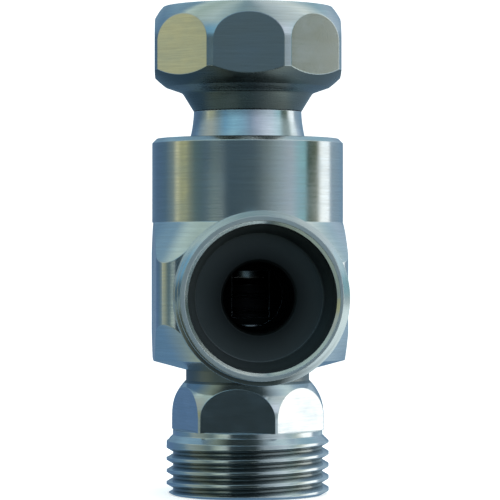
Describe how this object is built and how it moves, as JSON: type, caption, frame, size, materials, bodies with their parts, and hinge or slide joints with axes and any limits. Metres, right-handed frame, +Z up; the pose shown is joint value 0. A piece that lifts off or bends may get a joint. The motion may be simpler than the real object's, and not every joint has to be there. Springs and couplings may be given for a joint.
{
  "type": "three way valve",
  "caption": "Three way shuttle valve: square steel block with a swivel union nut above, a male threaded adapter below and the same adapter at the side.",
  "frame": {"origin": "centre of the bottom port's end face, on the main axis", "axes": "+Z up the main axis to the union nut, -Y out of the side port, +X completes the right-handed set"},
  "size_m": [0.0318, 0.0523, 0.0808],
  "materials": {
    "body_steel": "fine turned and ground, light zinc plate",
    "fitting_steel": "fine turned, light zinc plate",
    "nut_steel": "drawn octagon bar, turned chamfers, light zinc plate",
    "inner_steel": "fine turned stainless steel",
    "nitrile_rubber": "moulded nitrile rubber",
    "seal_plastic": "PTFE, off-white"
  },
  "bodies": {
    "valve": {"valve_body": "body_steel", "bottom_adapter": "fitting_steel", "side_adapter": "fitting_steel", "bottom_adapter_o_ring": "nitrile_rubber", "side_adapter_o_ring": "nitrile_rubber", "swivel_nipple": "fitting_steel", "nipple_o_ring": "nitrile_rubber", "nipple_backup_ring": "seal_plastic", "nose_o_ring": "nitrile_rubber", "lower_seat_ring": "inner_steel", "lower_seat_o_ring": "nitrile_rubber", "upper_seat_ring": "inner_steel", "upper_seat_o_ring": "nitrile_rubber", "guide_cage": "inner_steel"},
    "union_nut": {"union_nut": "nut_steel"},
    "shuttle": {"shuttle": "inner_steel", "shuttle_guide_ring": "seal_plastic", "shuttle_lower_seal": "nitrile_rubber", "shuttle_upper_seal": "nitrile_rubber", "seal_screws": "inner_steel"}
  },
  "joints": [
    {"name": "nut_spin", "type": "hinge", "parent": "valve", "child": "union_nut", "pos_m": [0, 0, 0.0725], "axis": [0, 0, 1], "continuous": true},
    {"name": "shuttle_travel", "type": "slide", "parent": "valve", "child": "shuttle", "axis": [0, 0, 1], "range_m": [0, 0.003]}
  ]
}
